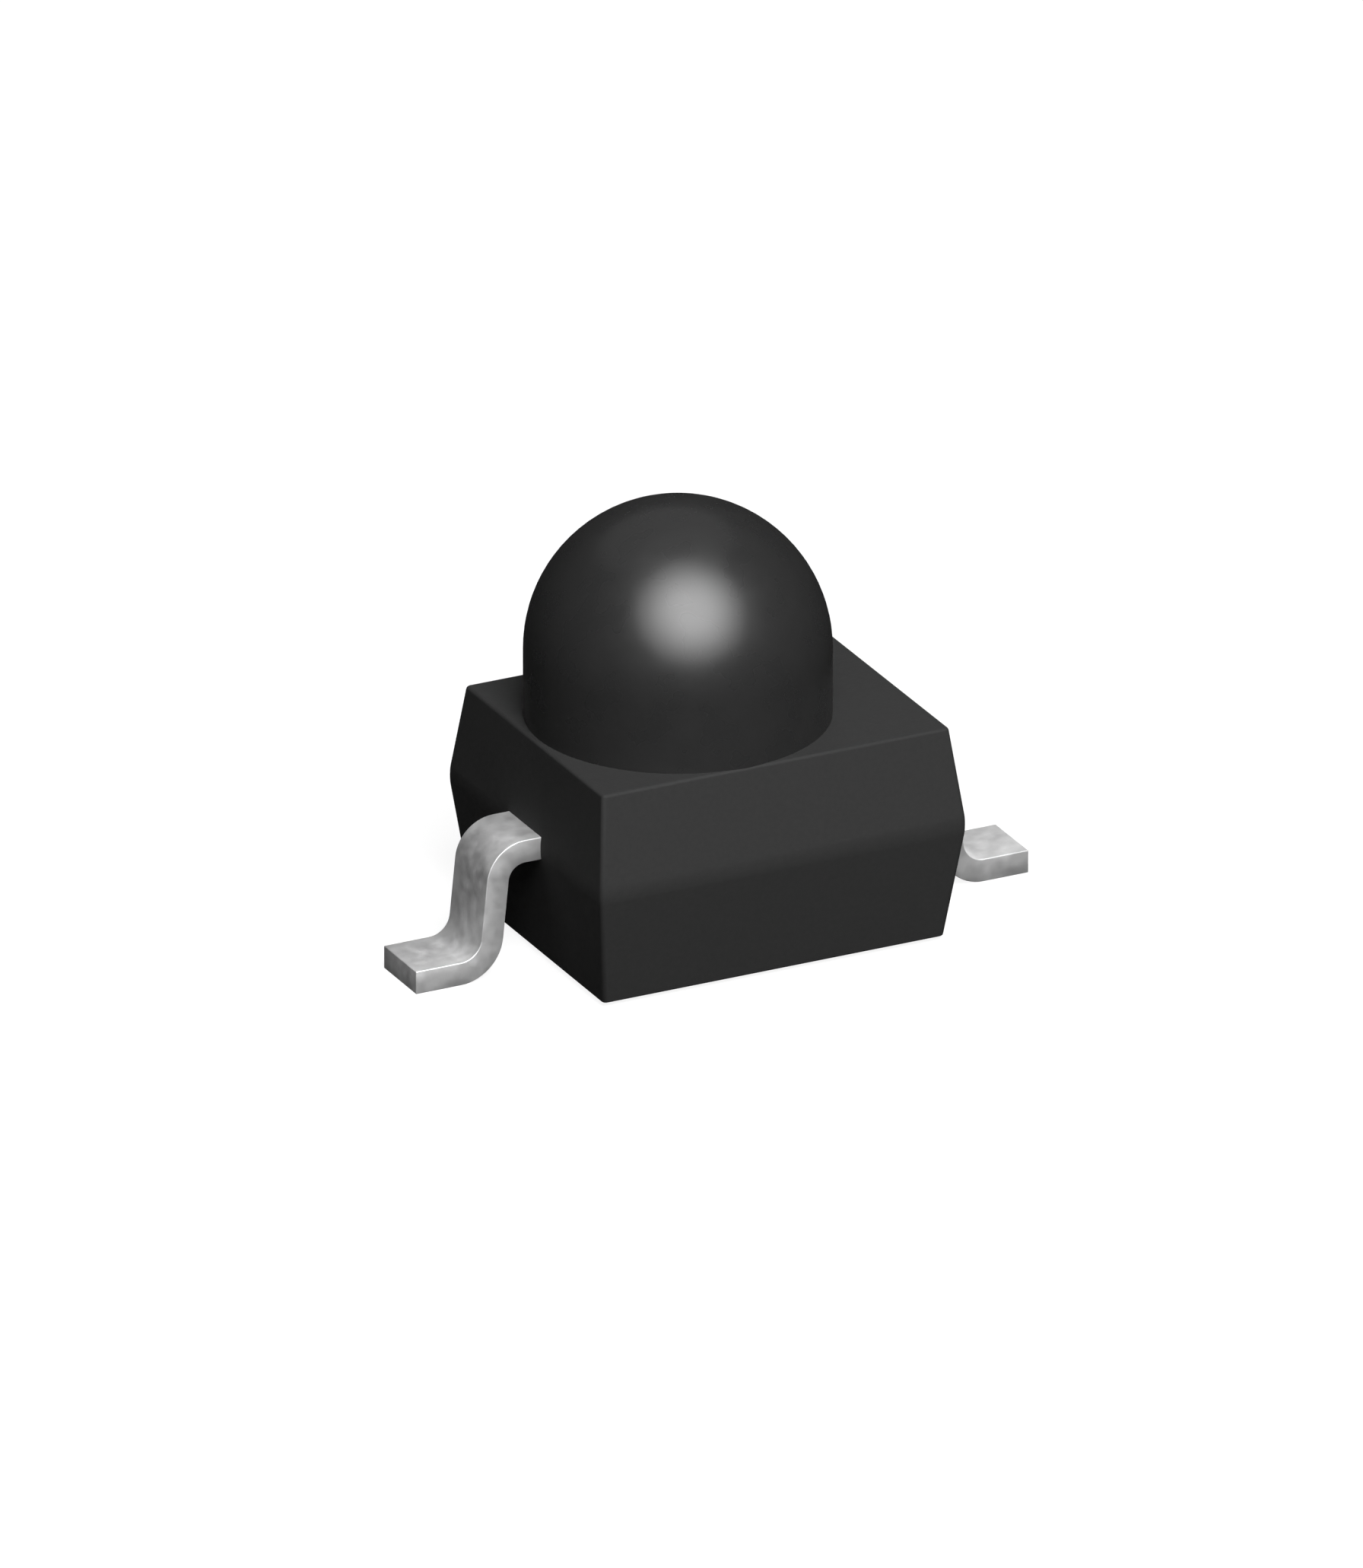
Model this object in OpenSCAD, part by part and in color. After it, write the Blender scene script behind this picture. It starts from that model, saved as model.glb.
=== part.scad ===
// Surface-mount phototransistor: a black moulded block with a dome lens,
// carried on two gull-wing leads. Inside it, the collector lead widens into
// the pad that carries the chip, and a gold wire bridges to the emitter lead.
//
// Millimetres. X runs along the leads, Y across the body and Z upwards from
// the solder plane, on which both feet stand. The origin lies midway between
// the feet. The collector lead is on -X and the emitter lead on +X.

/* [Moulded body] */
// Length of the block along the leads, at its parting line
body_l = 2.5; // [2.4:0.05:3.2]
// Width of the block across the leads, at its parting line
body_w = 2.13; // [2.1:0.01:2.6]
// Height of the block without the lens
body_h = 1.4; // [1.3:0.05:1.8]
// Height of the parting line above the underside of the block
parting_h = 0.78; // [0.7:0.02:0.9]
// Draft of the end walls, which the leads come out of
end_draft = 6.3; // [3:0.1:7]
// Draft of the two side walls
side_draft = 10.5; // [3:0.1:10.8]
// Radius that softens the crease at the parting line
crease_r = 0.45; // [0.1:0.05:0.6]
// Gap between the solder plane and the underside of the block
standoff = 0.03; // [0:0.01:0.1]

/* [Lens] */
// Diameter of the lens
lens_d = 1.9; // [1.5:0.05:1.9]
// Height of the straight barrel under the dome
barrel_h = 0.43; // [0.2:0.01:0.8]
// Distance from the middle of the block to the lens axis, towards -X
lens_offset = 0.2; // [0.1:0.01:0.22]

/* [Leads] */
// Thickness of the strip that the leads are blanked from
lead_t = 0.15; // [0.1:0.01:0.18]
// Width of each lead
lead_w = 0.45; // [0.35:0.01:0.55]
// Overall length from one foot's tip to the other
lead_span = 4.2; // [4:0.05:5.2]
// Straight run between the block and the upper bend
exit_l = 0.105; // [0.05:0.005:0.15]
// Inside radius of the upper bend
shoulder_r = 0.11; // [0.08:0.01:0.14]
// Inside radius of the bend above the foot
heel_r = 0.14; // [0.1:0.01:0.18]
// Outward lean of the riser between the two bends, in degrees
riser_lean = 6; // [0:1:12]

/* [Lead frame inside the block] */
// Length of the chip pad along X
pad_l = 0.95; // [0.8:0.01:1]
// Width of the chip pad across the leads
pad_w = 1; // [0.7:0.05:1.4]
// Length of the bond post along X
post_l = 0.42; // [0.3:0.01:0.45]
// Width of the bond post across the leads
post_w = 0.9; // [0.6:0.05:1.4]
// Radius of the corners of the pad and the post
plate_r = 0.08; // [0.02:0.01:0.12]
// Gap between the pad and the post
frame_gap = 0.2; // [0.15:0.01:0.22]
// Diameter of the hole in each lead's neck that the moulding locks into
lock_d = 0.16; // [0.1:0.01:0.2]

/* [Chip and bonds] */
// Side of the square chip
chip_w = 0.5; // [0.4:0.01:0.6]
// Thickness of the chip
chip_t = 0.18; // [0.12:0.01:0.25]
// Thickness of the silver-filled glue under the chip
glue_t = 0.02; // [0.01:0.005:0.03]
// Width of the bead of glue around the chip
glue_bead = 0.05; // [0.02:0.01:0.08]
// Height that the bead climbs up the chip's sides
glue_climb = 0.02; // [0.01:0.005:0.05]
// Diameter of the bond wire
wire_d = 0.03; // [0.02:0.002:0.036]
// Diameter of the squashed ball on the chip
ball_d = 0.08; // [0.06:0.005:0.1]
// Height of the squashed ball
ball_h = 0.025; // [0.015:0.005:0.04]
// Distance from the ball's axis to the chip's edge
ball_inset = 0.1; // [0.06:0.01:0.2]
// Straight rise of the wire above the ball
wire_rise = 0.05; // [0.02:0.01:0.1]
// Radius of the loop at the top of the wire
loop_r = 0.1; // [0.06:0.01:0.12]
// Radius of the sweep where the wire runs out onto the post
sweep_r = 0.12; // [0.08:0.01:0.14]
// Length of the flattened stitch on the post
stitch_l = 0.11; // [0.08:0.01:0.13]
// Width of the stitch
stitch_w = 0.05; // [0.04:0.005:0.08]
// Thickness of the stitch at its tail, and of the film under the wire's end
stitch_t = 0.005; // [0.003:0.001:0.01]

/* [Hidden] */
$fn = 64;

// --- levels -----------------------------------------------------------
body_top = standoff + body_h;
lead_z = standoff + parting_h;      // mid-plane of the lead frame
frame_top = lead_z + lead_t / 2;    // face that carries the chip and the bond
chip_z = frame_top + glue_t;
chip_top = chip_z + chip_t;

// --- the lead, bent in the XZ plane -----------------------------------
shoulder_x = body_l / 2 + exit_l;                  // centre of the upper bend
shoulder_z = lead_z - lead_t / 2 - shoulder_r;
heel_z = lead_t + heel_r;                          // centre of the lower bend
// The riser is as long as it takes for the foot to lie on the solder plane.
bend_gap = shoulder_r + lead_t + heel_r;
riser_l = (shoulder_z + bend_gap * sin(riser_lean) - heel_z) / cos(riser_lean);
heel_x = shoulder_x + bend_gap * cos(riser_lean) + riser_l * sin(riser_lean);
foot_l = lead_span / 2 - heel_x;

// --- places along X ---------------------------------------------------
pad_x = -lens_offset;                          // the chip sits on the lens axis
post_x = pad_x + pad_l / 2 + frame_gap + post_l / 2;
ball_x = pad_x + chip_w / 2 - ball_inset;

// --- the bond wire, bent in the XZ plane ------------------------------
ball_top = chip_top + ball_h;
loop_x = ball_x + loop_r;                      // centre of the loop
loop_z = ball_top + wire_rise;
wire_end_x = post_x;
wire_end_z = frame_top + stitch_t + wire_d / 2;
sweep_z = wire_end_z + sweep_r;                // centre of the sweep
// The straight part is the common tangent of the loop and the sweep: its
// slope follows from how far apart their centres lie.
wire_u = wire_end_x - loop_x;
wire_v = sweep_z - loop_z;
wire_slope = asin((loop_r + sweep_r) / sqrt(wire_u * wire_u + wire_v * wire_v))
           - atan2(wire_v, wire_u);
// The straight runs are a hair thinner than the bends and plug into them, so
// that no two round faces have to meet edge to edge.
plug_d = 0.98 * wire_d;
plug_l = 0.004;

// --- helpers ----------------------------------------------------------
// Turns a flat shape so that its Y becomes Z, and gives it a width along Y.
module stand_up(width) {
    rotate([90, 0, 0]) linear_extrude(width, center = true) children();
}

// A bend of the strip, seen from the side, from the lean of the riser up to
// 90 degrees. The two squares share their edges with the straight parts.
module bend(r_in) {
    r_out = r_in + lead_t;
    intersection() {
        difference() { circle(r_out); circle(r_in); }
        square(2 * r_out);
        rotate(riser_lean) square(2 * r_out);
    }
}

// A plate of the lead frame, with rounded corners, centred on its place.
module frame_plate(length, width) {
    translate([0, 0, lead_z - lead_t / 2]) linear_extrude(lead_t) {
        square([length - 2 * plate_r, width], center = true);
        square([length, width - 2 * plate_r], center = true);
        for (sx = [-1, 1], sy = [-1, 1])
            translate([sx * (length / 2 - plate_r), sy * (width / 2 - plate_r)])
                circle(plate_r);
    }
}

// --- sub-parts --------------------------------------------------------
// Everything on the inner side of one drafted wall. The wall leans in below
// and above the parting line, and each half is a square in its own tilted
// frame. An arc between the two, tangent to both, softens the crease.
module inside_wall(half, draft) {
    reach = 2 * (half + body_h);
    translate([half - crease_r, parting_h]) {
        rotate(-draft) translate([-reach, -reach]) square([reach + crease_r, reach]);
        rotate(draft) translate([-reach, 0]) square([reach + crease_r, reach]);
        intersection() {
            circle(crease_r);
            rotate(-draft) square(crease_r);
            rotate(draft) translate([0, -crease_r]) square(crease_r);
        }
    }
}

// Outline of the block, seen along its length or its width.
module drafted_side(width, draft) {
    intersection() {
        inside_wall(width / 2, draft);
        mirror([1, 0]) inside_wall(width / 2, draft);
        translate([-width / 2, 0]) square([width, body_h]);
    }
}

module moulded_block() {
    translate([0, 0, standoff]) intersection() {
        stand_up(2 * body_w) drafted_side(body_l, end_draft);
        rotate([0, 0, 90]) stand_up(2 * body_l) drafted_side(body_w, side_draft);
    }
}

// The lens is turned from one outline, so the dome runs on from the barrel.
module lens() {
    r = lens_d / 2;
    translate([pad_x, 0, body_top]) rotate_extrude() {
        square([r, barrel_h]);
        translate([0, barrel_h]) intersection() {
            circle(r);
            square([r, r]);
        }
    }
}

// One lead on the +X side, from its plate inside the block to its foot. Each
// stretch is placed from the end of the one before it. plate_end is where the
// neck leaves the plate.
module gull_wing(plate_end) {
    difference() {
        stand_up(lead_w) {
            translate([plate_end, lead_z - lead_t / 2])
                square([shoulder_x - plate_end, lead_t]);
            translate([shoulder_x, shoulder_z]) {
                bend(shoulder_r);
                rotate(riser_lean) translate([shoulder_r, -riser_l]) {
                    square([lead_t, riser_l]);
                    translate([lead_t + heel_r, 0]) rotate(-riser_lean) {
                        rotate(180) bend(heel_r);
                        translate([0, -heel_z]) square([foot_l, lead_t]);
                    }
                }
            }
        }
        // The moulding flows through this hole and holds the lead.
        translate([(plate_end + body_l / 2) / 2, 0, lead_z])
            cylinder(d = lock_d, h = 2 * lead_t, center = true);
    }
}

module collector_lead() {
    color("silver") union() {
        translate([pad_x, 0, 0]) frame_plate(pad_l, pad_w);
        mirror([1, 0, 0]) gull_wing(-pad_x + pad_l / 2);
    }
}

module emitter_lead() {
    color("silver") union() {
        translate([post_x, 0, 0]) frame_plate(post_l, post_w);
        gull_wing(post_x + post_l / 2);
    }
}

module phototransistor_chip() {
    color("slategray") translate([pad_x - chip_w / 2, -chip_w / 2, chip_z])
        cube([chip_w, chip_w, chip_t]);
}

// The glue fills the gap under the chip and stands a little up its sides.
module die_attach() {
    side = chip_w + 2 * glue_bead;
    color("gainsboro") difference() {
        translate([pad_x, 0, frame_top]) linear_extrude(glue_t + glue_climb) {
            square([side - 2 * glue_bead, side], center = true);
            square([side, side - 2 * glue_bead], center = true);
            for (sx = [-1, 1], sy = [-1, 1])
                translate([sx, sy] * (side / 2 - glue_bead)) circle(glue_bead);
        }
        phototransistor_chip();
    }
}

// Ball on the chip, straight rise, loop, straight run, sweep and stitch.
module bond_wire() {
    color("gold") union() {
        translate([ball_x, 0, chip_top]) cylinder(d = ball_d, h = ball_h);
        translate([ball_x, 0, ball_top - plug_l])
            cylinder(d = plug_d, h = wire_rise + 2 * plug_l);
        wire_arc([loop_x, loop_z], loop_r, 90 - wire_slope, 180);
        wire_run();
        wire_arc([wire_end_x, sweep_z], sweep_r, 270 - wire_slope, 270);
        stitch();
    }
}

// A bend of the wire in the XZ plane about a centre, between two angles.
module wire_arc(centre, radius, from, to) {
    translate([centre[0], 0, centre[1]]) rotate([90, 0, 0]) rotate([0, 0, from])
        rotate_extrude(angle = to - from) translate([radius, 0]) circle(d = wire_d);
}

// The straight run leaves the loop and meets the sweep at the same slope.
module wire_run() {
    from_x = loop_x + loop_r * sin(wire_slope);
    from_z = loop_z + loop_r * cos(wire_slope);
    to_x = wire_end_x - sweep_r * sin(wire_slope);
    length = (to_x - from_x) / cos(wire_slope);
    translate([from_x, 0, from_z]) rotate([0, 90 + wire_slope, 0])
        translate([0, 0, -plug_l]) cylinder(d = plug_d, h = length + 2 * plug_l);
}

// The bonding tool presses the wire's end into a wedge that thins to a tail.
module stitch() {
    front = wire_d;
    top = wire_d + 2 * stitch_t;
    translate([wire_end_x, 0, frame_top]) stand_up(stitch_w)
        polygon([[-front / 2, 0], [stitch_l, 0], [stitch_l, stitch_t],
                 [front / 2, top], [-front / 2, top]]);
}

// One black moulding: the block, its lens and the space that the frame,
// the chip and the wire fill.
module package_body() {
    color([0.16, 0.16, 0.17]) difference() {
        union() { moulded_block(); lens(); }
        collector_lead();
        emitter_lead();
        die_attach();
        phototransistor_chip();
        bond_wire();
    }
}

package_body();
collector_lead();
emitter_lead();
die_attach();
phototransistor_chip();
bond_wire();
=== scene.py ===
# %% [markdown]
# # A domed phototransistor, modelled and finished
#
# The part is a surface-mount phototransistor 4.2 mm long: a black epoxy block with a round
# lens moulded on its top, and two flat metal leads bent like gull wings. Inside the epoxy
# one lead carries a silicon chip, and a gold wire runs from the chip to the other lead.
#
# A frame made in CAD gives every size and place. This lesson keeps the three small inner
# pieces of that frame, glue, chip and wire, and gives them finishes. It models the moulding
# and the two leads again, because the frame's plain facets lack the rounded edges and smooth
# bends that catch the light. Then it lays a pale table under the part and sets up its camera
# and its lamps.

# %% Load the frame
import math

import bmesh
import bpy
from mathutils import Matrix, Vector


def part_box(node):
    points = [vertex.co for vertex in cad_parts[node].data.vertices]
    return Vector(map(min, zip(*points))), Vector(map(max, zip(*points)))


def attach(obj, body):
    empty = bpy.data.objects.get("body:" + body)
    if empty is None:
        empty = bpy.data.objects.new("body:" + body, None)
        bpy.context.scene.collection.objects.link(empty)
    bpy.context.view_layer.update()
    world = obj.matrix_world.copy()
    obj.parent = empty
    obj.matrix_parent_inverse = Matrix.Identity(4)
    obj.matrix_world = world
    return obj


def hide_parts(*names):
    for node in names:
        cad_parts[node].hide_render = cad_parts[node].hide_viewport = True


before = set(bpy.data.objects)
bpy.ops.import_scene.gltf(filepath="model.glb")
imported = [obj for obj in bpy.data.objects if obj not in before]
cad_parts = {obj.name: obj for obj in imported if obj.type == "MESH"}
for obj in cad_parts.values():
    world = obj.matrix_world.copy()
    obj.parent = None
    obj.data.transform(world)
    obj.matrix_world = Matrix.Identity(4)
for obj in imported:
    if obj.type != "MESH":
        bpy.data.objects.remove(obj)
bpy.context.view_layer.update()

print("CAD nodes:", ", ".join(sorted(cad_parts)))

# %% [markdown]
# ## Working small
#
# Blender counts in metres, and this part is a few thousandths of one, so each size below is
# written in millimetres and multiplied by MM. Blender's own defaults are for big things: its
# usual merge distance of 0.1 mm would melt a lead's edges together, so every operator that
# takes a threshold gets one of a micrometre.
#
# Operators act on whatever is selected. So a piece is always taken up alone first, and its
# faces, edges or corners are then picked by their place.

# %% Units, and what is selected
MM = 0.001
CLOSE = 0.001 * MM  # corners nearer than this are one corner


def let_go():
    """Leaves edit mode and deselects everything."""
    if bpy.context.object and bpy.context.object.mode != "OBJECT":
        bpy.ops.object.mode_set(mode="OBJECT")
    bpy.ops.object.select_all(action="DESELECT")


def take(*pieces):
    """Selects these pieces only, and makes the first the active one."""
    let_go()
    for piece in pieces:
        piece.select_set(True)
    bpy.context.view_layer.objects.active = pieces[0]


def edit(piece):
    """Opens a piece in edit mode, with nothing in it selected."""
    take(piece)
    bpy.ops.object.mode_set(mode="EDIT")
    bpy.ops.mesh.select_all(action="DESELECT")


print(f"1 mm is {MM} in Blender, and corners within {CLOSE:.6f} are merged")


# %% Pick by place
def near(a, b):
    """True for two places in mm that are as good as the same."""
    return abs(a - b) < 0.002


def pick(kind, test):
    """Selects the faces, edges or corners that pass a test, which gets their places in mm."""
    bpy.ops.mesh.select_mode(type=kind)
    bpy.ops.mesh.select_all(action="DESELECT")
    shape = bmesh.from_edit_mesh(bpy.context.edit_object.data)
    if kind == "FACE":
        found = [f for f in shape.faces if test(f.calc_center_median() / MM, f.normal)]
    elif kind == "EDGE":
        found = [e for e in shape.edges if test(e.verts[0].co / MM, e.verts[1].co / MM)]
    else:
        found = [v for v in shape.verts if test(v.co / MM)]
    for part in found:
        part.select_set(True)
    shape.select_flush_mode()
    bmesh.update_edit_mesh(bpy.context.edit_object.data)
    return len(found)


# %% Keep and measure
def keep_place():
    """Writes the new object's place, turn and size into its mesh, and gives the object back."""
    bpy.ops.object.transform_apply(location=True, rotation=True, scale=True)
    return bpy.context.object


def measure(piece):
    """Prints a piece's box, faces and volume, and whether its shell is closed."""
    let_go()
    shape = bmesh.new()
    shape.from_mesh(piece.data)
    low = [round(min(v.co[i] for v in shape.verts) / MM, 3) for i in range(3)]
    high = [round(max(v.co[i] for v in shape.verts) / MM, 3) for i in range(3)]
    gaps = sum(not e.is_manifold for e in shape.edges)
    volume = shape.calc_volume(signed=True) / MM**3
    print(f"{piece.name}: {low} to {high} mm, {volume:.3f} mm3")
    print(f"  {len(shape.faces)} faces, {gaps} open edges")
    shape.free()


# %% [markdown]
# ## The epoxy block
#
# On the real part the block is black epoxy, pressed hot into a steel mould made of two
# halves. The walls lean in above and below the line where the halves meet, so that the part
# falls out of the mould: by 6.3 degrees at the ends, where the leads come out, and by 10.5
# at the sides. The block stands 0.03 mm off the floor, so that the leads touch it first.
#
# Two tapered boxes could be stacked, but then a seam has to be closed between them. A curve
# could be lofted, which suits rounder things. Here one cube is cut at the parting height,
# and its top and its bottom are pulled in. That is the shortest way, and it leaves four
# clean corner edges that take a bevel well.

# %% Cut a block at the parting height and lean its walls
END_DRAFT, SIDE_DRAFT = math.radians(6.3), math.radians(10.5)
HALF_LENGTH, HALF_WIDTH = 1.25, 1.065  # at the parting line, once it is rounded
PARTING, FLOOR_GAP, BLOCK_TOP = 0.81, 0.03, 1.43
SOFTEN = 0.066  # how far the round at the parting line reaches up and down each wall
# Until it is rounded, the parting line is sharp and stands out a little further.
half_x = HALF_LENGTH + SOFTEN * math.tan(END_DRAFT / 2)
half_y = HALF_WIDTH + SOFTEN * math.tan(SIDE_DRAFT / 2)

let_go()
bpy.ops.mesh.primitive_cube_add(
    size=1,
    location=(0, 0, (FLOOR_GAP + BLOCK_TOP) / 2 * MM),
    scale=(2 * half_x * MM, 2 * half_y * MM, (BLOCK_TOP - FLOOR_GAP) * MM),
)
moulding = keep_place()
moulding.name = moulding.data.name = "epoxy_moulding"

edit(moulding)
bpy.ops.mesh.select_all(action="SELECT")
bpy.ops.mesh.bisect(plane_co=(0, 0, PARTING * MM), plane_no=(0, 0, 1), threshold=CLOSE)
for level in (FLOOR_GAP, BLOCK_TOP):
    reach = abs(level - PARTING)
    in_x, in_y = reach * math.tan(END_DRAFT), reach * math.tan(SIDE_DRAFT)
    pick("VERT", lambda p: near(p.z, level))
    bpy.ops.transform.resize(
        value=(1 - in_x / half_x, 1 - in_y / half_y, 1),
        center_override=(0, 0, level * MM),
    )
    print(f"at {level} mm the half sizes are {half_x - in_x:.3f} and {half_y - in_y:.3f} mm")
measure(moulding)

# %% [markdown]
# ## Rounding the block
#
# A mould cavity is cut by spark erosion, and its inside corners keep the small radius of the
# electrode. On the part that radius catches a thin line of light along each edge, which
# tells the eye how sharp the edge is. The parting line is much softer: there the two halves
# were polished together, and one wall flows into the other.
#
# A Bevel modifier would give every edge the same width. In edit mode each set of edges is
# picked by its place and gets its own radius: corners first, so that the later bevels run
# round them, then the parting line, then the rims.

# %% Bevel the corners, then the parting line, then the rims
CORNER_R, TOP_R, SOLE_R = 0.03, 0.02, 0.015
RIM_OFFSET = 0.9  # a rim turns by less than a right angle, so its offset is less than its radius


def upright(a, b):
    """True for an edge that stands up."""
    return abs(a.z - b.z) > 0.1


def level_with(height):
    """A test for the edges that lie at this height in mm."""
    return lambda a, b: near(a.z, height) and near(b.z, height)


edit(moulding)
count = pick("EDGE", upright)
bpy.ops.mesh.bevel(offset=CORNER_R * MM, segments=4, affect="EDGES")
print(count, "corner edges rounded to", CORNER_R, "mm")

count = pick("EDGE", level_with(PARTING))
bpy.ops.mesh.bevel(offset=SOFTEN * MM, segments=6, affect="EDGES")
print(count, "edges of the parting line softened over", 2 * SOFTEN, "mm")

for level, radius in ((BLOCK_TOP, TOP_R), (FLOOR_GAP, SOLE_R)):
    count = pick("EDGE", level_with(level))
    bpy.ops.mesh.bevel(offset=radius * RIM_OFFSET * MM, segments=3, affect="EDGES")
    print(count, "rim edges rounded to", radius, "mm")
measure(moulding)

# %% [markdown]
# ## The lens
#
# The same shot of epoxy fills a polished round pocket over the block: a short barrel 1.9 mm
# across with half a ball on top, 0.2 mm off the middle of the block, right above the chip.
# It gathers light onto the chip. Its epoxy is black to the eye but clear to infrared, so
# nothing of the inside shows.
#
# A sphere set on a cylinder would leave a seam to hide, and a sphere's poles crowd its faces
# where the highlight falls. Turning one profile about the lens's own axis, as on a lathe,
# gives barrel and dome in one skin. The profile is a quarter of a circle with the barrel's
# wall extruded from its foot. It goes down into the block, so that the join is cut cleanly.

# %% Turn a quarter circle and a short straight line into the lens
LENS_X, LENS_R, DOME_Z = -0.20, 0.95, 1.86
LENS_FOOT = 1.2  # inside the block, well below its top
STEPS = 96

let_go()
bpy.ops.mesh.primitive_circle_add(
    vertices=STEPS,
    radius=LENS_R * MM,
    fill_type="NOTHING",
    location=(LENS_X * MM, 0, DOME_Z * MM),
    rotation=(math.radians(90), 0, 0),
)
lens = keep_place()
lens.name = lens.data.name = "lens"

edit(lens)
pick("VERT", lambda p: p.x < LENS_X - 0.001 or p.z < DOME_Z - 0.001)
bpy.ops.mesh.delete(type="VERT")
pick("VERT", lambda p: near(p.z, DOME_Z))
for step in ((0, 0, (LENS_FOOT - DOME_Z) * MM), (-LENS_R * MM, 0, 0)):
    bpy.ops.mesh.extrude_region_move(TRANSFORM_OT_translate={"value": step})
bpy.ops.mesh.select_all(action="SELECT")
bpy.ops.mesh.spin(steps=STEPS, angle=2 * math.pi, center=(LENS_X * MM, 0, 0), axis=(0, 0, 1))
bpy.ops.mesh.select_all(action="SELECT")
bpy.ops.mesh.remove_doubles(threshold=CLOSE)
bpy.ops.mesh.normals_make_consistent(inside=False)
measure(lens)


# %% [markdown]
# ## One skin for block and lens
#
# The moulding is a single piece of epoxy, so its mesh should be a single closed skin. The
# lens could simply be left standing in the block, but then faces would hide inside it. An
# exact Boolean union cuts them away. It is a modifier, and it is applied at once.

# %% Join the lens to the block
def press(piece, kind, **settings):
    """Adds a modifier to a piece, sets it and applies it at once."""
    take(piece)
    modifier = piece.modifiers.new(kind.title(), kind)
    for key, value in settings.items():
        setattr(modifier, key, value)
    bpy.ops.object.modifier_apply(modifier=modifier.name)


press(moulding, "BOOLEAN", operation="UNION", solver="EXACT", object=lens)
bpy.data.objects.remove(lens)
measure(moulding)

# %% [markdown]
# ## The gull-wing strip
#
# Each lead is stamped from copper alloy strip 0.15 mm thick and 0.45 mm wide. After the
# moulding a press bends it down beside the block and out again at the floor, into the shape
# of a gull's wing. The foot is what gets soldered.
#
# A curve with a flat section could follow that path, but its bends wouldn't be true arcs
# and its thickness would change in them. Here the section is pushed along as in the press:
# the end face is spun about each bend's own centre, and extruded straight between the bends.
# A short block of strip is the start, and its end face is what moves.

# %% Where the strip bends
STRIP_T, STRIP_W = 0.15, 0.45
STRIP_Z = 0.735  # its underside, where it leaves the block
STRIP_MIDDLE = STRIP_Z + STRIP_T / 2
# Each bend has a centre, as x and z, and the radius of the tool on its inside.
SHOULDER, SHOULDER_R = (1.355, 0.625), 0.11
HEEL, HEEL_R = (1.792, 0.29), 0.14
RISER_LEAN = math.radians(6)
TURN = math.radians(90) - RISER_LEAN
POST_END, PAD_END = 0.895, -0.675  # where the strips leave their plates inside the block
TIP = 2.10  # where the foot ends


def riser_corner(centre, radius):
    """Where the riser meets a bend, as x and z in mm."""
    return Vector((
        centre[0] + radius * math.cos(RISER_LEAN),
        centre[1] + radius * math.sin(RISER_LEAN),
    ))


riser = riser_corner(HEEL, -(HEEL_R + STRIP_T)) - riser_corner(SHOULDER, SHOULDER_R)
print(f"the straight riser is {riser.length:.3f} mm long")


# %% Pull and bend one strip
def pull(x, z):
    """Extrudes the selected end face by a step in mm."""
    bpy.ops.mesh.extrude_region_move(TRANSFORM_OT_translate={"value": (x * MM, 0, z * MM)})


def wrap(centre, turn):
    """Bends the selected end face round a tool, 6 degrees at a time."""
    bpy.ops.mesh.spin(
        steps=round(abs(math.degrees(turn)) / 6),
        angle=turn,
        center=(centre[0] * MM, 0, centre[1] * MM),
        axis=(0, 1, 0),
        use_auto_merge=False,
    )


let_go()
bpy.ops.mesh.primitive_cube_add(
    size=1,
    location=((POST_END + SHOULDER[0]) / 2 * MM, 0, STRIP_MIDDLE * MM),
    scale=((SHOULDER[0] - POST_END) * MM, STRIP_W * MM, STRIP_T * MM),
)
wing = keep_place()
wing.name = wing.data.name = "gull_wing"

edit(wing)
pick("FACE", lambda p, d: d.x > 0.9)
wrap(SHOULDER, -TURN)
pull(riser.x, riser.y)
wrap(HEEL, TURN)
pull(TIP - HEEL[0], 0)
pick("FACE", lambda p, d: near(p.x, POST_END))
bpy.ops.mesh.delete(type="ONLY_FACE")
measure(wing)

# %% [markdown]
# ## The plates inside the epoxy
#
# Inside the block each strip widens into a plate. The collector's plate is the pad that
# carries the chip, and the emitter's is the post that the wire lands on. They can't be seen
# once the epoxy is on, but they belong to the lead, and a section or an X-ray view shows them.
#
# The strip is the same on both leads, so the collector gets a mirrored copy with its own
# mesh. Its inner end is pulled to its own pad. Each plate is cut from a cube, split where the
# strip will meet it, and welded to the strip corner by corner. A Boolean union could join
# them too, but it leaves thin slivers where two flat faces lie in one plane.

# %% Mirror the strip for the collector
take(wing)
bpy.ops.object.duplicate()
left_wing = bpy.context.object
left_wing.scale = (-1, 1, 1)
keep_place()
edit(left_wing)
count = pick("VERT", lambda p: near(p.x, -POST_END))
bpy.ops.transform.translate(value=((POST_END + PAD_END) * MM, 0, 0))
let_go()
print("the copy's", count, "inner corners moved to x", PAD_END, "mm")


# %% Make each plate and weld it to its strip
POST_TIP, POST_HALF_WIDTH = 0.475, 0.45
PAD_TIP, PAD_HALF_WIDTH = 0.275, 0.5
PLATE_R = 0.08  # how far a plate's corners are rounded


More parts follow.
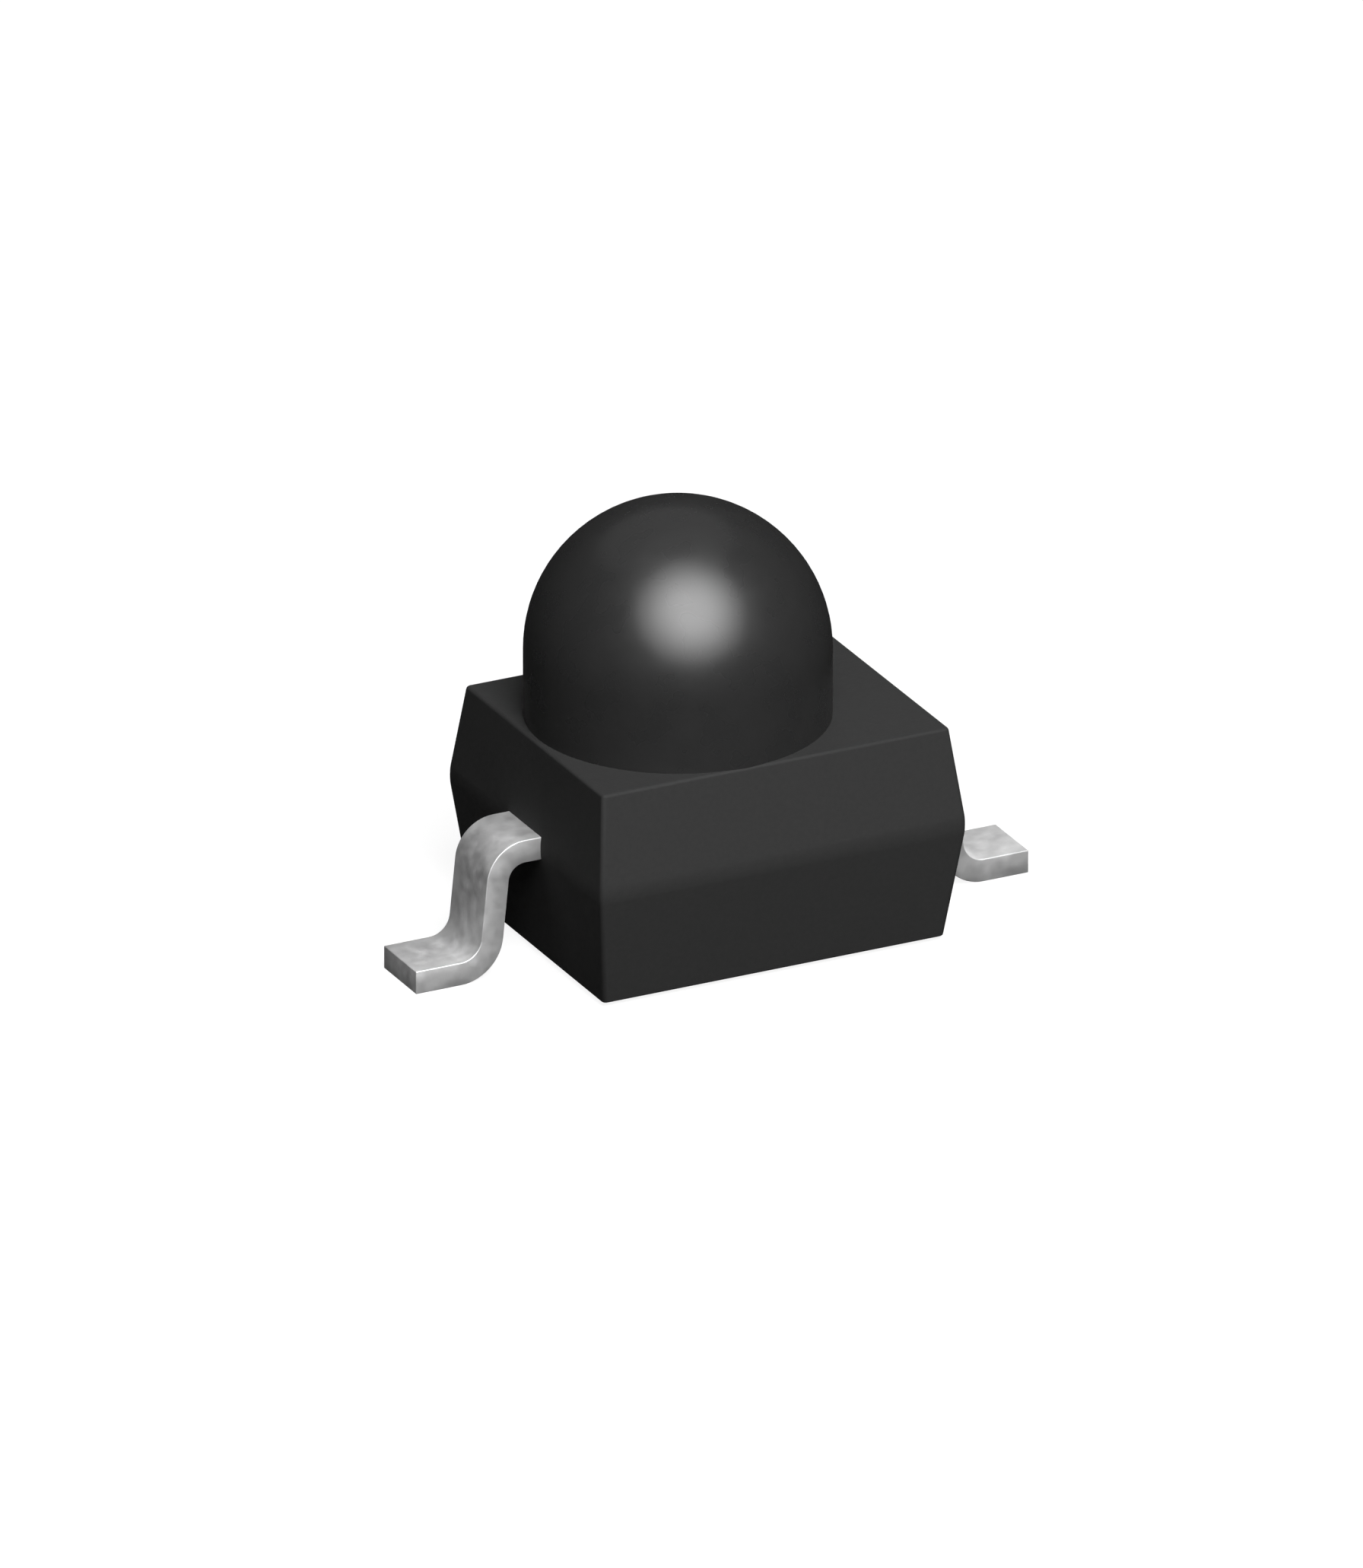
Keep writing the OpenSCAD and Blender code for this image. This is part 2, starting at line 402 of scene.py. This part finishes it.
def plate(name, x0, x1, half_width, strip_side):
    """A stamped plate from x0 to x1 mm, open where the strip joins it."""
    let_go()
    bpy.ops.mesh.primitive_cube_add(
        size=1,
        location=((x0 + x1) / 2 * MM, 0, STRIP_MIDDLE * MM),
        scale=((x1 - x0) * MM, 2 * half_width * MM, STRIP_T * MM),
    )
    piece = keep_place()
    piece.name = piece.data.name = name
    edit(piece)
    corners = pick("EDGE", upright)
    bpy.ops.mesh.bevel(offset=PLATE_R * MM, segments=6, affect="EDGES")
    for side in (-1, 1):
        cut = (0, side * STRIP_W / 2 * MM, 0)
        bpy.ops.mesh.select_all(action="SELECT")
        bpy.ops.mesh.bisect(plane_co=cut, plane_no=(0, 1, 0), threshold=CLOSE)
    pick("FACE", lambda p, d: d.x * strip_side > 0.9 and abs(p.y) < STRIP_W / 2)
    bpy.ops.mesh.delete(type="ONLY_FACE")
    print(name, "plate with", corners, "rounded corners")
    return piece


def weld(piece, strip):
    """Joins a strip to its plate where their corners meet."""
    take(piece, strip)
    bpy.ops.object.join()
    edit(piece)
    bpy.ops.mesh.select_all(action="SELECT")
    bpy.ops.mesh.remove_doubles(threshold=CLOSE)
    bpy.ops.mesh.normals_make_consistent(inside=False)
    measure(piece)


emitter = plate("emitter_gull_wing", POST_TIP, POST_END, POST_HALF_WIDTH, strip_side=1)
weld(emitter, wing)
collector = plate("collector_gull_wing", PAD_END, PAD_TIP, PAD_HALF_WIDTH, strip_side=-1)
weld(collector, left_wing)


# %% [markdown]
# ## Lock holes and stamped edges
#
# A round hole in the neck of each lead, halfway from its plate to the block's end wall, fills
# with epoxy and locks the lead in place. It is punched here with a Boolean, because a hole
# made by hand would need its own ring of faces in both flat sides of the neck. Stamping leaves
# an edge that is rolled on one side and torn on the other. After plating both are softened
# alike, so one narrow bevel on all sharp edges is enough.

# %% Punch the lock holes and break the stamped edges
HOLE_R, EDGE_BREAK = 0.08, 0.006
PUNCH_LENGTH = 0.4  # any length will do that goes right through the strip


def punch(piece, x):
    """Cuts a round hole through the neck."""
    let_go()
    bpy.ops.mesh.primitive_cylinder_add(
        vertices=32,
        radius=HOLE_R * MM,
        depth=PUNCH_LENGTH * MM,
        location=(x * MM, 0, STRIP_MIDDLE * MM),
    )
    tool = keep_place()
    press(piece, "BOOLEAN", operation="DIFFERENCE", solver="EXACT", object=tool)
    bpy.data.objects.remove(tool)


for piece, plate_end, wall in (
    (emitter, POST_END, HALF_LENGTH),
    (collector, PAD_END, -HALF_LENGTH),
):
    punch(piece, (plate_end + wall) / 2)
    press(
        piece,
        "BEVEL",
        width=EDGE_BREAK * MM,
        segments=3,
        limit_method="ANGLE",
        angle_limit=math.radians(40),
        use_clamp_overlap=True,
    )
    measure(piece)

# %% [markdown]
# ## Smooth shading
#
# Rounded edges only read as rounded if the shading runs across them, while the flats beside
# them stay flat. Smooth-by-angle does the first: it shades across every edge that turns by
# less than 38 degrees. Weighted normals do the second: they let the largest faces decide, so
# that the small faces of a bevel don't tilt the light on the wall next to them.

# %% Shade the new pieces
for piece in (moulding, emitter, collector):
    take(piece)
    bpy.ops.object.shade_smooth_by_angle(angle=math.radians(38))
    press(piece, "WEIGHTED_NORMAL", weight=50, keep_sharp=True)
    print(piece.name, "shaded")

# %% [markdown]
# ## Which body, and which CAD node
#
# Nothing on this part moves, so every piece rides on the one body, root. The three new
# pieces stand for the three CAD nodes whose sizes they repeat, and those nodes are hidden.

# %% Tie the new pieces to the frame
for piece, node, slot in (
    (moulding, "package_body", "moulding"),
    (collector, "collector_lead", "lead_plating"),
    (emitter, "emitter_lead", "lead_plating"),
):
    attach(piece, "root")
    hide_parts(node)
    print(piece.name, "stands for", node)

# %% [markdown]
# ## Building materials
#
# Colours are written as the hex values that a screen shows, and one function turns them into
# the linear light that Blender works in. Another function adds a node with its settings and
# links, so each material below reads as a short list from its pattern to its shader. All
# patterns read Object coordinates, which are metres on the piece itself, so a grain of
# 0.03 mm can be asked for as 0.03 mm.


# %% Colour and node helpers
def paint(code):
    """A hex colour as linear RGBA."""
    parts = [int(code[i : i + 2], 16) / 255 for i in (1, 3, 5)]
    return [c / 12.92 if c <= 0.04045 else ((c + 0.055) / 1.055) ** 2.4 for c in parts] + [1]


def per_mm(size):
    """The scale that gives a pattern features of this size in mm."""
    return 1 / (size * MM)


def add(tree, kind, inputs=(), **settings):
    """Adds a node. Each input is a number, a colour or another node's socket."""
    node = tree.nodes.new(kind)
    for key, value in settings.items():
        setattr(node, key, value)
    for key, value in dict(inputs).items():
        if isinstance(value, bpy.types.NodeSocket):
            tree.links.new(value, node.inputs[key])
        else:
            node.inputs[key].default_value = value
    return node


NOISE_SPAN = {"From Min": 0.3, "From Max": 0.7}  # the values that a noise mostly keeps to
print("mid grey #808080 is", round(paint("#808080")[0], 3), "in linear light")


# %% Start a material, and put one on a piece
def material(name):
    """A new material and its node tree, which is still empty."""
    made = bpy.data.materials.new(name)
    made.use_nodes = True
    made.node_tree.nodes.clear()
    return made, made.node_tree


def wear(piece, made):
    """Puts a material in each of a piece's slots, and gives it a slot if it has none."""
    if not piece.material_slots:
        piece.data.materials.append(made)
    for slot in piece.material_slots:
        slot.material = made
    print(piece.name, "wears", made.name)


# %% [markdown]
# ## Black epoxy, matt from the mould
#
# The block is epoxy filled with fine silica and blackened with carbon. The mould's
# spark-eroded walls print an even grain on it. That scatters light, so the block has no
# clear highlight and its faces differ only in how far they turn to the lamp. A flat colour
# would look like paper. Two noises do better: a fine one for the grain, which also raises a
# bump, and a broad one that lets the sheen drift a little, as it does on filled plastic.

# %% The block's epoxy
matt_epoxy, tree = material("black epoxy, spark-eroded mould finish")
place = add(tree, "ShaderNodeTexCoord").outputs["Object"]
# The real grain is about 0.01 mm. It is drawn three times as coarse, so that it shows at all.
grain = add(
    tree,
    "ShaderNodeTexNoise",
    {"Vector": place, "Scale": per_mm(0.03), "Detail": 3.0, "Roughness": 0.6},
)
cloud = add(tree, "ShaderNodeTexNoise", {"Vector": place, "Scale": per_mm(0.25), "Detail": 2.0})
tone = add(
    tree,
    "ShaderNodeMix",
    {"Factor": grain.outputs["Fac"], "A": paint("#303030"), "B": paint("#353535")},
    data_type="RGBA",
)
rough = add(
    tree,
    "ShaderNodeMapRange",
    {"Value": cloud.outputs["Fac"], **NOISE_SPAN, "To Min": 0.62, "To Max": 0.7},
)
bump = add(
    tree,
    "ShaderNodeBump",
    {"Height": grain.outputs["Fac"], "Strength": 0.5, "Distance": 0.002 * MM},
)
# Epoxy's own gloss is cut down here: the pits of the grain swallow most of it.
shell = add(
    tree,
    "ShaderNodeBsdfPrincipled",
    {
        "Base Color": tone.outputs["Result"],
        "Roughness": rough.outputs["Result"],
        "Normal": bump.outputs["Normal"],
        "IOR": 1.5,
        "Specular IOR Level": 0.08,
    },
)
add(tree, "ShaderNodeOutputMaterial", {"Surface": shell.outputs["BSDF"]})
wear(moulding, matt_epoxy)

# %% [markdown]
# ## Black epoxy, polished
#
# The lens's pocket in the mould is lapped smooth, because a rough lens would scatter the
# light that it should gather. So the same epoxy looks darker here, and it mirrors the lamp as
# one soft bright disc. It isn't a perfect mirror: the filler leaves a faint haze that widens
# the disc's edge. That haze is a slow change in roughness, with hardly any in colour.

# %% The lens's epoxy
lens_epoxy, tree = material("black epoxy, polished mould finish")
place = add(tree, "ShaderNodeTexCoord").outputs["Object"]
haze = add(tree, "ShaderNodeTexNoise", {"Vector": place, "Scale": per_mm(0.2), "Detail": 2.0})
tone = add(
    tree,
    "ShaderNodeMix",
    {"Factor": haze.outputs["Fac"], "A": paint("#2b2b2b"), "B": paint("#2e2e2e")},
    data_type="RGBA",
)
rough = add(
    tree,
    "ShaderNodeMapRange",
    {"Value": haze.outputs["Fac"], **NOISE_SPAN, "To Min": 0.26, "To Max": 0.3},
)
shell = add(
    tree,
    "ShaderNodeBsdfPrincipled",
    {"Base Color": tone.outputs["Result"], "Roughness": rough.outputs["Result"], "IOR": 1.55},
)
add(tree, "ShaderNodeOutputMaterial", {"Surface": shell.outputs["BSDF"]})

moulding.data.materials.append(lens_epoxy)
polished = [f for f in moulding.data.polygons if f.center.z > (BLOCK_TOP + 0.001) * MM]
for face in polished:
    face.material_index = 1
print(len(polished), "faces of the lens wear", lens_epoxy.name)

# %% [markdown]
# ## Matt tin plating
#
# The leads are plated with matt tin about 0.01 mm thick, so that solder wets them. Bright
# tin would be a mirror. Matt tin is laid down as a skin of small crystals, each tilted its
# own way, and gives a pale satin grey with broad soft reflections. The shader is a metal, so
# its colour is the colour of what it reflects. Patches a few crystals wide differ a little
# in tone and roughness, and the crystals raise a bump.

# %% The leads' plating
tin, tree = material("matt tin plating")
place = add(tree, "ShaderNodeTexCoord").outputs["Object"]
# Tin's crystals are a few thousandths of a millimetre wide. They are drawn at 0.02 mm to show.
crystals = add(
    tree,
    "ShaderNodeTexNoise",
    {"Vector": place, "Scale": per_mm(0.02), "Detail": 3.0, "Roughness": 0.6},
)
patches = add(tree, "ShaderNodeTexNoise", {"Vector": place, "Scale": per_mm(0.08), "Detail": 2.0})
tone = add(
    tree,
    "ShaderNodeMix",
    {"Factor": patches.outputs["Fac"], "A": paint("#d4d4d4"), "B": paint("#f2f2f2")},
    data_type="RGBA",
)
rough = add(
    tree,
    "ShaderNodeMapRange",
    {"Value": patches.outputs["Fac"], **NOISE_SPAN, "To Min": 0.58, "To Max": 0.66},
)
bump = add(
    tree,
    "ShaderNodeBump",
    {"Height": crystals.outputs["Fac"], "Strength": 0.4, "Distance": 0.001 * MM},
)
shell = add(
    tree,
    "ShaderNodeBsdfPrincipled",
    {
        "Base Color": tone.outputs["Result"],
        "Roughness": rough.outputs["Result"],
        "Normal": bump.outputs["Normal"],
        "Metallic": 1.0,
    },
)
add(tree, "ShaderNodeOutputMaterial", {"Surface": shell.outputs["BSDF"]})
wear(emitter, tin)
wear(collector, tin)

# %% [markdown]
# ## Inside: glue, chip and wire
#
# The epoxy hides these three, but the model can be taken apart, so they are finished too.
# Their CAD shapes are right and stay as they are. Each one only gets a material in its slot.
#
# The glue is resin packed with silver flakes, which carry the current from chip to pad. It
# looks like dull silver paint. Voronoi cells make flakes that each catch the light their own
# way, which a noise can't do because it has no borders.

# %% The glue under the chip
glue, tree = material("silver-filled epoxy glue")
place = add(tree, "ShaderNodeTexCoord").outputs["Object"]
# Real flakes are about 0.005 mm across. They are drawn at 0.015 mm to show.
flakes = add(tree, "ShaderNodeTexVoronoi", {"Vector": place, "Scale": per_mm(0.015)})
shine = add(tree, "ShaderNodeSeparateColor", {"Color": flakes.outputs["Color"]})
tone = add(
    tree,
    "ShaderNodeMix",
    {"Factor": shine.outputs["Red"], "A": paint("#8f8d88"), "B": paint("#cfccc5")},
    data_type="RGBA",
)
rough = add(
    tree, "ShaderNodeMapRange", {"Value": shine.outputs["Green"], "To Min": 0.35, "To Max": 0.65}
)
bump = add(
    tree,
    "ShaderNodeBump",
    {"Height": flakes.outputs["Distance"], "Strength": 0.5, "Distance": 0.002 * MM},
)
shell = add(
    tree,
    "ShaderNodeBsdfPrincipled",
    {
        "Base Color": tone.outputs["Result"],
        "Roughness": rough.outputs["Result"],
        "Normal": bump.outputs["Normal"],
        "Metallic": 0.8,
    },
)
add(tree, "ShaderNodeOutputMaterial", {"Surface": shell.outputs["BSDF"]})
wear(bpy.data.objects["die_attach"], glue)

# %% [markdown]
# ## The chip's three surfaces
#
# A chip is sawn from a wafer. Its sides are grey silicon with fine upright saw marks. Its top
# is polished and coated with a clear film so thin that it shows one colour of the rainbow,
# here a deep blue violet. Bare silicon is left along the saw line, and a square of aluminium
# lies under the wire's ball. All of this could be separate pieces, but it is thinner than
# paint, so masks made from the chip's own coordinates paint it on.

# %% Measure the chip for its masks
BALL_R = 0.04  # the ball is the wire's end on the chip
BOND_PAD_HALF = 0.06
SAW_LINE = 0.02  # how wide the bare strip is along each edge of the top
TOP_SKIN = 0.002  # whatever lies further down than this is a side

chip_low, chip_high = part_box("phototransistor_chip")
chip_middle = (chip_low + chip_high) / 2
chip_half = (chip_high.x - chip_low.x) / 2
ball_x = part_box("bond_wire")[0].x + BALL_R * MM
print(f"the chip is {2 * chip_half / MM:.2f} mm square")
print(f"its bond pad is centred at x {ball_x / MM:.2f} mm")

# %% Mask the chip's sides, its bond pad and its saw line
silicon, tree = material("sawn silicon with a nitride film and an aluminium pad")
place = add(tree, "ShaderNodeTexCoord").outputs["Object"]


def square_mask(x, half, inside):
    """1 inside a square about x on the chip's top, or 1 outside it."""
    off = add(tree, "ShaderNodeVectorMath", {0: place, 1: (x, 0, 0)}, operation="SUBTRACT")
    off = add(tree, "ShaderNodeVectorMath", {0: off.outputs["Vector"]}, operation="ABSOLUTE")
    part = add(tree, "ShaderNodeSeparateXYZ", {"Vector": off.outputs["Vector"]})
    far = add(
        tree, "ShaderNodeMath", {0: part.outputs["X"], 1: part.outputs["Y"]}, operation="MAXIMUM"
    )
    sort = "LESS_THAN" if inside else "GREATER_THAN"
    mask = add(tree, "ShaderNodeMath", {0: far.outputs["Value"], 1: half}, operation=sort)
    return mask.outputs["Value"]


height = add(tree, "ShaderNodeSeparateXYZ", {"Vector": place}).outputs["Z"]
side = add(
    tree, "ShaderNodeMath", {0: height, 1: chip_high.z - TOP_SKIN * MM}, operation="LESS_THAN"
).outputs["Value"]
pad = square_mask(ball_x, BOND_PAD_HALF * MM, inside=True)
scribe = square_mask(chip_middle.x, chip_half - SAW_LINE * MM, inside=False)
bare = add(tree, "ShaderNodeMath", {0: scribe, 1: side}, operation="MAXIMUM").outputs["Value"]
print("three masks use", len(tree.nodes), "nodes")

# %% The chip's silicon, film and bond pad
# Saw marks are finer than 0.005 mm. They are drawn at 0.01 mm, and stretched upright along Z.
along = add(tree, "ShaderNodeMapping", {"Vector": place, "Scale": (1, 1, 0.1)}).outputs["Vector"]
saw = add(tree, "ShaderNodeTexNoise", {"Vector": along, "Scale": per_mm(0.01), "Detail": 2.0})
film = add(tree, "ShaderNodeTexNoise", {"Vector": place, "Scale": per_mm(0.3), "Detail": 1.0})
violet = add(
    tree,
    "ShaderNodeMix",
    {"Factor": film.outputs["Fac"], "A": paint("#2c2f5a"), "B": paint("#433a72")},
    data_type="RGBA",
)
sawn = add(
    tree,
    "ShaderNodeMix",
    {"Factor": saw.outputs["Fac"], "A": paint("#55585d"), "B": paint("#7c7f85")},
    data_type="RGBA",
)
tone = add(
    tree,
    "ShaderNodeMix",
    {"Factor": pad, "A": violet.outputs["Result"], "B": paint("#d5d6d8")},
    data_type="RGBA",
)
tone = add(
    tree,
    "ShaderNodeMix",
    {"Factor": bare, "A": tone.outputs["Result"], "B": sawn.outputs["Result"]},
    data_type="RGBA",
)
rough = add(tree, "ShaderNodeMapRange", {"Value": side, "To Min": 0.18, "To Max": 0.55})
marks = add(tree, "ShaderNodeMath", {0: saw.outputs["Fac"], 1: side}, operation="MULTIPLY")
bump = add(
    tree,
    "ShaderNodeBump",
    {"Height": marks.outputs["Value"], "Strength": 0.4, "Distance": 0.001 * MM},
)
shell = add(
    tree,
    "ShaderNodeBsdfPrincipled",
    {
        "Base Color": tone.outputs["Result"],
        "Roughness": rough.outputs["Result"],
        "Normal": bump.outputs["Normal"],
        "Metallic": 0.7,
    },
)
add(tree, "ShaderNodeOutputMaterial", {"Surface": shell.outputs["BSDF"]})
wear(bpy.data.objects["phototransistor_chip"], silicon)

# %% [markdown]
# ## The bond wire
#
# The wire is gold, 0.03 mm thick, drawn through a die that leaves fine lines along it. Its
# end is melted into a ball, pressed onto the chip and pulled over to the post. Gold's colour
# is all in its reflections, so the shader is a full metal, smooth enough to glint along the
# loop. A soft unevenness in its roughness breaks the glint up, as the drawn lines do.

# %% The wire's gold
gold, tree = material("drawn gold wire")
place = add(tree, "ShaderNodeTexCoord").outputs["Object"]
# The die's lines are far finer than the wire. They are drawn at a fifth of its thickness.
lines = add(tree, "ShaderNodeTexNoise", {"Vector": place, "Scale": per_mm(0.006), "Detail": 2.0})
tone = add(
    tree,
    "ShaderNodeMix",
    {"Factor": lines.outputs["Fac"], "A": paint("#e8b24f"), "B": paint("#ffd98a")},
    data_type="RGBA",
)
rough = add(
    tree,
    "ShaderNodeMapRange",
    {"Value": lines.outputs["Fac"], **NOISE_SPAN, "To Min": 0.18, "To Max": 0.34},
)
bump = add(
    tree,
    "ShaderNodeBump",
    {"Height": lines.outputs["Fac"], "Strength": 0.3, "Distance": 0.0005 * MM},
)
shell = add(
    tree,
    "ShaderNodeBsdfPrincipled",
    {
        "Base Color": tone.outputs["Result"],
        "Roughness": rough.outputs["Result"],
        "Normal": bump.outputs["Normal"],
        "Metallic": 1.0,
    },
)
add(tree, "ShaderNodeOutputMaterial", {"Surface": shell.outputs["BSDF"]})
wear(bpy.data.objects["bond_wire"], gold)

# %% [markdown]
# ## The camera
#
# A long lens from far away keeps the part's upright edges parallel, so that its proportions
# are easy to judge. The sensor here is as tall as the field that it sees, 9.6 mm, so the
# lens's length and the distance are one number, FAR, which can be changed without losing the
# framing. The camera looks down by about 23 degrees from the front left.

# %% Place the camera
AZIMUTH, ELEVATION = math.radians(26.36), math.radians(23.47)
FIELD, FAR = 9.612, 240  # the height that it sees and how far off it stands, in mm

right = Vector((math.cos(AZIMUTH), -math.sin(AZIMUTH), 0))
back = Vector((
    -math.sin(AZIMUTH) * math.cos(ELEVATION),
    -math.cos(AZIMUTH) * math.cos(ELEVATION),
    math.sin(ELEVATION),
))
up = back.cross(right)
# The middle of the view lies a little left of the part's own middle, and above its foot.
aim = right * -0.157 + up * 0.8365 + back * 0.57

seen = bpy.data.cameras.new("camera")
seen.sensor_width, seen.lens = FIELD, FAR
camera = bpy.data.objects.new("camera", seen)
bpy.context.scene.collection.objects.link(camera)
camera.location = (aim + back * FAR) * MM
camera.rotation_euler = (math.radians(90) - ELEVATION, 0, -AZIMUTH)
bpy.context.scene.camera = camera
bpy.context.scene.view_settings.view_transform = "Standard"
print("camera at", [round(v / MM, 1) for v in camera.location], "mm")

# %% [markdown]
# ## The table and the air around it
#
# The table is a plain pale sheet, and the air behind it is white. Making them white with
# more light would also bleach the part. Instead both ask what kind of ray has reached them:
# a camera, glossy or transmission ray sees white, and light that bounces off them onto the
# part stays dim. The sheet glows at 0.9 and adds the lamps' light on top, so the part's
# shadow is still there.

# %% White for the eye only
WHITE = paint("#ffffff")
GLOW = 0.9  # what the sheet shows in full shadow
DARK_AIR = 0.02  # what the surround gives as light


def looked_at(tree):
    """1 where the camera, a reflection or a view through something meets the surface, else 0."""
    path = add(tree, "ShaderNodeLightPath").outputs
    seen_by = path["Is Camera Ray"]
    for ray in (path["Is Glossy Ray"], path["Is Transmission Ray"]):
        both = add(tree, "ShaderNodeMath", {0: seen_by, 1: ray}, operation="ADD", use_clamp=True)
        seen_by = both.outputs["Value"]
    return seen_by


# %% Lay the sheet
SHEET_SIZE = 400

let_go()
bpy.ops.mesh.primitive_plane_add(size=SHEET_SIZE * MM, location=(0, 0, 0))
floor = bpy.context.object
floor.name = "floor"

sheet, tree = material("pale table sheet")
matt = add(tree, "ShaderNodeBsdfDiffuse", {"Color": paint("#737373")}).outputs["BSDF"]
glow = add(tree, "ShaderNodeEmission", {"Color": WHITE, "Strength": GLOW}).outputs["Emission"]
lit = add(tree, "ShaderNodeAddShader", {0: matt, 1: glow}).outputs["Shader"]
both = add(tree, "ShaderNodeMixShader", {0: looked_at(tree), 1: matt, 2: lit})
add(tree, "ShaderNodeOutputMaterial", {"Surface": both.outputs["Shader"]})
wear(floor, sheet)

# %% Fill the air with white
world = bpy.data.worlds.new("white surround")
bpy.context.scene.world = world
world.use_nodes = True
tree = world.node_tree
tree.nodes.clear()
strength = add(
    tree, "ShaderNodeMapRange", {"Value": looked_at(tree), "To Min": DARK_AIR, "To Max": 1.0}
)
air = add(tree, "ShaderNodeBackground", {"Color": WHITE, "Strength": strength.outputs["Result"]})
add(tree, "ShaderNodeOutputWorld", {"Surface": air.outputs["Background"]})
print("the air is white to look at, and gives", DARK_AIR, "as light")

# %% [markdown]
# ## A dark tent
#
# A polished black part in a white room turns grey, because its rims mirror the room. Studios
# hang dark cloth round such a part: its outline stays black, and the lamp alone draws the
# highlight. Turning the lens's gloss down would lose that highlight too, so the cloth is the
# better way. This tent of charcoal cloth is a box that only reflections meet. The camera
# looks through it, and it throws no shadow and no light on the part.

# %% Hang the tent
TENT_WIDTH, TENT_HEIGHT = 300, 150
TENT_LIFT = 0.001  # so that its bottom and the table's sheet aren't in one plane

let_go()
bpy.ops.mesh.primitive_cube_add(
    size=1,
    location=(0, 0, (TENT_HEIGHT / 2 + TENT_LIFT) * MM),
    scale=(TENT_WIDTH * MM, TENT_WIDTH * MM, TENT_HEIGHT * MM),
)
tent = keep_place()
tent.name = tent.data.name = "dark_tent"
tent.visible_camera = tent.visible_diffuse = tent.visible_shadow = False

cloth, tree = material("charcoal cloth in dim light")
dim = add(tree, "ShaderNodeEmission", {"Color": WHITE, "Strength": DARK_AIR})
add(tree, "ShaderNodeOutputMaterial", {"Surface": dim.outputs["Emission"]})
wear(tent, cloth)

# %% [markdown]
# ## The lamps
#
# One round softbox high in front of the part gives its soft highlight. A softbox is
# brightest in the middle, where its bulb is, and fades outwards, so its mirror image is made
# of three discs, one inside the other. What it shows in a reflection and what it throws on
# matt epoxy are set apart: the discs draw the highlight, and a narrower lamp in their middle,
# the bulb, does the lighting. That keeps the left-hand walls as dark as one bulb leaves them.
#
# Brightness is what a mirror would show of a lamp's face, where 1 is white. The bulb lights
# a level surface at about 1, so that a colour comes out as it was written.

# %% A round lamp aimed at the part
PART_MIDDLE = Vector((0, 0, 1))  # in mm, and near enough to aim a lamp at
AWAY = 60  # how far the lamps hang from it, in mm


def softbox(name, azimuth, elevation, distance, half_angle, brightness):
    """Angles are in degrees, seen from the part: azimuth 0 is in front and 90 on its right."""
    a, e, half = math.radians(azimuth), math.radians(elevation), math.radians(half_angle)
    way = Vector((math.sin(a) * math.cos(e), -math.cos(a) * math.cos(e), math.sin(e)))
    radius = distance * math.tan(half) * MM
    lamp = bpy.data.lights.new(name, "AREA")
    lamp.shape, lamp.size = "DISK", 2 * radius
    lamp.energy = brightness * math.pi * math.pi * radius**2  # its face's area, times pi again
    holder = bpy.data.objects.new(name, lamp)
    bpy.context.scene.collection.objects.link(holder)
    holder.location = (way * distance + PART_MIDDLE) * MM
    holder.rotation_euler = way.to_track_quat("Z", "Y").to_euler()
    level = brightness * math.sin(half) ** 2 * way.z
    print(f"{name}: {2 * radius / MM:.0f} mm across, would light a level surface at {level:.2f}")
    return holder


# %% Hang the key light
KEY_DISCS = ((38, 2.55), (28, 3.2), (18, 2.6))  # half angle and brightness, widest first
# Each disc hangs a millimetre in front of the wider one, and the bulb in front of them all.
for ring, (half_angle, brightness) in enumerate(KEY_DISCS):
    disc = softbox(
        f"key softbox {ring}",
        azimuth=-12,
        elevation=50,
        distance=AWAY - ring,
        half_angle=half_angle,
        brightness=brightness,
    )
    disc.visible_diffuse = False

bulb = softbox(
    "key bulb", azimuth=-9, elevation=50, distance=AWAY - 3, half_angle=16, brightness=17
)
bulb.visible_glossy = False

# %% [markdown]
# ## Light from behind
#
# The key leaves the far side of the part black. A dim softbox high behind it puts a faint
# glow on top of the dome, and a low fill lifts the back walls so that they can be looked at
# from there too. The fill stays out of reflections, where it would draw a bright rim. Metal
# shows nothing but reflections, so the leads get a side softbox of their own: light linking
# lets it reach them and nothing else.

# %% Hang the lamps behind
softbox("back softbox", azimuth=168, elevation=62, distance=AWAY, half_angle=35, brightness=0.2)
fill = softbox(
    "fill from behind", azimuth=154, elevation=8, distance=AWAY, half_angle=14, brightness=7.5
)
fill.visible_glossy = False

leads = bpy.data.collections.new("leads")
leads.objects.link(collector)
leads.objects.link(emitter)
side_lamp = softbox(
    "side softbox for the leads",
    azimuth=110,
    elevation=12,
    distance=AWAY,
    half_angle=35,
    brightness=1.1,
)
side_lamp.light_linking.receiver_collection = leads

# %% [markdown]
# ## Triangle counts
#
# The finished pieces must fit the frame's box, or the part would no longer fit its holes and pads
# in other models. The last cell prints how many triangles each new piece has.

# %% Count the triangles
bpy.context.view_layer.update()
for piece in (moulding, collector, emitter):
    print(piece.name, sum(len(f.vertices) - 2 for f in piece.data.polygons), "triangles")
